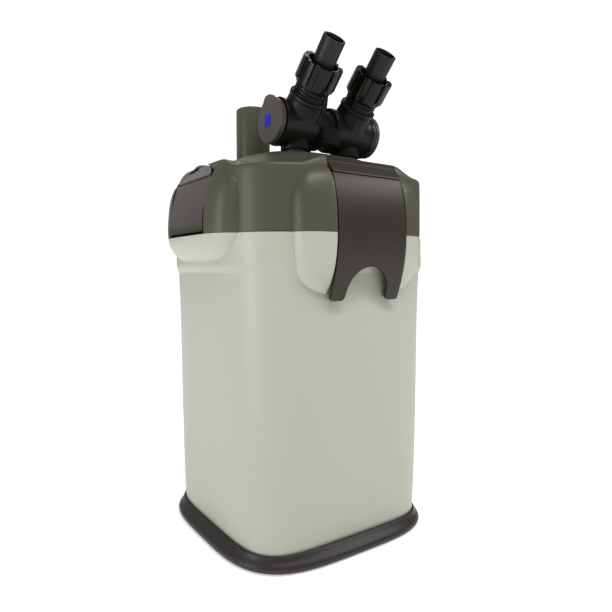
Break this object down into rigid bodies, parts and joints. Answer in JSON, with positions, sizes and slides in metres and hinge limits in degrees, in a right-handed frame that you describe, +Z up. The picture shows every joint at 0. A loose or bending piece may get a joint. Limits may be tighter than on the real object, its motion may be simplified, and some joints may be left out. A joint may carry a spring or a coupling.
{
  "type": "canister filter",
  "caption": "Square external canister filter: a grey canister under a pump head held by two clips, with a priming plunger and a tap block with two angled hose connectors.",
  "frame": {"origin": "on the floor at the middle of the foot", "axes": "+Z up; -Y is the front, with the front clip and the hose connectors; +X to the right seen from the front"},
  "size_m": [0.2, 0.2, 0.3743],
  "materials": {
    "canister_grey": "satin",
    "head_olive": "satin",
    "clip_charcoal": "satin",
    "panel_gloss": "gloss",
    "foot_dark": "satin",
    "tap_dark": "satin",
    "knob_grey": "satin",
    "nut_black": "gloss",
    "tail_dark": "satin",
    "lever_dark": "satin",
    "label_black": "matte",
    "mark_blue": "gloss",
    "rubber_black": "matte",
    "seal_rubber": "matte",
    "inner_black": "matte",
    "inner_grey": "satin",
    "white_plastic": "satin",
    "steel": "satin",
    "copper_coil": "satin",
    "magnet": "satin",
    "ceramic_white": "matte",
    "foam_blue": "matte",
    "floss_white": "matte",
    "ball_blue": "satin",
    "gland_grey": "satin"
  },
  "bodies": {
    "housing": {"foot": "foot_dark", "foot_pads": "rubber_black", "canister": "canister_grey", "head_cover": "head_olive", "head_plate": "inner_black", "head_seal": "seal_rubber", "head_screws": "steel", "front_clip_pin": "steel", "rear_clip_pin": "steel", "left_panel": "panel_gloss", "right_panel": "panel_gloss", "motor_housing": "inner_black", "stator": "copper_coil", "rotor_shaft": "ceramic_white", "shaft_bushes": "seal_rubber", "impeller_cover": "inner_grey", "riser_tube": "inner_grey", "inlet_pipe": "inner_grey", "outlet_pipe": "inner_grey", "pipe_seals": "seal_rubber", "lower_basket": "inner_black", "middle_basket": "inner_black", "upper_basket": "inner_black", "basket_lid": "inner_grey", "coarse_foam": "foam_blue", "fine_foam": "floss_white", "ceramic_rings": "ceramic_white", "bio_balls": "ball_blue", "primer_spring": "steel", "primer_guide": "inner_grey", "primer_collar": "head_olive", "tap_block": "tap_dark", "label_plate": "label_black", "left_hose_tail": "tail_dark", "right_hose_tail": "tail_dark", "lever_pin": "steel", "cord_gland": "gland_grey"},
    "front_clip": {"front_clip": "clip_charcoal"},
    "rear_clip": {"rear_clip": "clip_charcoal"},
    "primer": {"primer_plunger": "head_olive"},
    "left_tap": {"left_tap_knob": "knob_grey", "left_valve_core": "white_plastic", "left_tap_mark": "mark_blue"},
    "right_tap": {"right_tap_knob": "knob_grey", "right_valve_core": "white_plastic", "right_tap_mark": "mark_blue"},
    "lever": {"release_lever": "lever_dark"},
    "left_clamp": {"left_clamp_ring": "inner_black"},
    "left_nut": {"left_hose_nut": "nut_black"},
    "right_clamp": {"right_clamp_ring": "inner_black"},
    "right_nut": {"right_hose_nut": "nut_black"},
    "rotor": {"rotor_magnet": "magnet", "impeller": "white_plastic"}
  },
  "joints": [
    {"name": "front_clip_swing", "type": "hinge", "parent": "housing", "child": "front_clip", "pos_m": [0, -0.0843, 0.2842], "axis": [-1, 0, 0], "range_deg": [0, 95]},
    {"name": "rear_clip_swing", "type": "hinge", "parent": "housing", "child": "rear_clip", "pos_m": [0, 0.0843, 0.2842], "axis": [1, 0, 0], "range_deg": [0, 95]},
    {"name": "primer_press", "type": "slide", "parent": "housing", "child": "primer", "axis": [0, 0, -1], "range_m": [0, 0.026], "stiffness_N_per_m": 150, "springref_m": -0.006, "deforming": ["primer_spring"]},
    {"name": "left_tap_turn", "type": "hinge", "parent": "housing", "child": "left_tap", "pos_m": [-0.026, -0.038, 0.3206], "axis": [1, 0, 0], "range_deg": [0, 90]},
    {"name": "right_tap_turn", "type": "hinge", "parent": "housing", "child": "right_tap", "pos_m": [0.023, -0.038, 0.3206], "axis": [1, 0, 0], "range_deg": [0, 90]},
    {"name": "release_lever_tilt", "type": "hinge", "parent": "housing", "child": "lever", "pos_m": [-0.0015, -0.0195, 0.3305], "axis": [-1, 0, 0], "range_deg": [0, 60]},
    {"name": "left_clamp_slide", "type": "slide", "parent": "housing", "child": "left_clamp", "axis": [0, -0.7071, 0.7071], "range_m": [0, 0.008]},
    {"name": "left_nut_turn", "type": "hinge", "parent": "left_clamp", "child": "left_nut", "pos_m": [-0.025, -0.038, 0.3206], "axis": [0, -0.7071, 0.7071], "range_deg": [0, 720]},
    {"name": "right_clamp_slide", "type": "slide", "parent": "housing", "child": "right_clamp", "axis": [0, -0.7071, 0.7071], "range_m": [0, 0.008]},
    {"name": "right_nut_turn", "type": "hinge", "parent": "right_clamp", "child": "right_nut", "pos_m": [0.022, -0.038, 0.3206], "axis": [0, -0.7071, 0.7071], "range_deg": [0, 720]},
    {"name": "rotor_spin", "type": "hinge", "parent": "housing", "child": "rotor", "pos_m": [0.024, 0.02, 0.24], "axis": [0, 0, 1], "continuous": true}
  ],
  "couplings": [
    {"joint": "left_clamp_slide", "follows": "left_nut_turn", "m_per_rad": 0.00063662},
    {"joint": "right_clamp_slide", "follows": "right_nut_turn", "m_per_rad": 0.00063662}
  ]
}
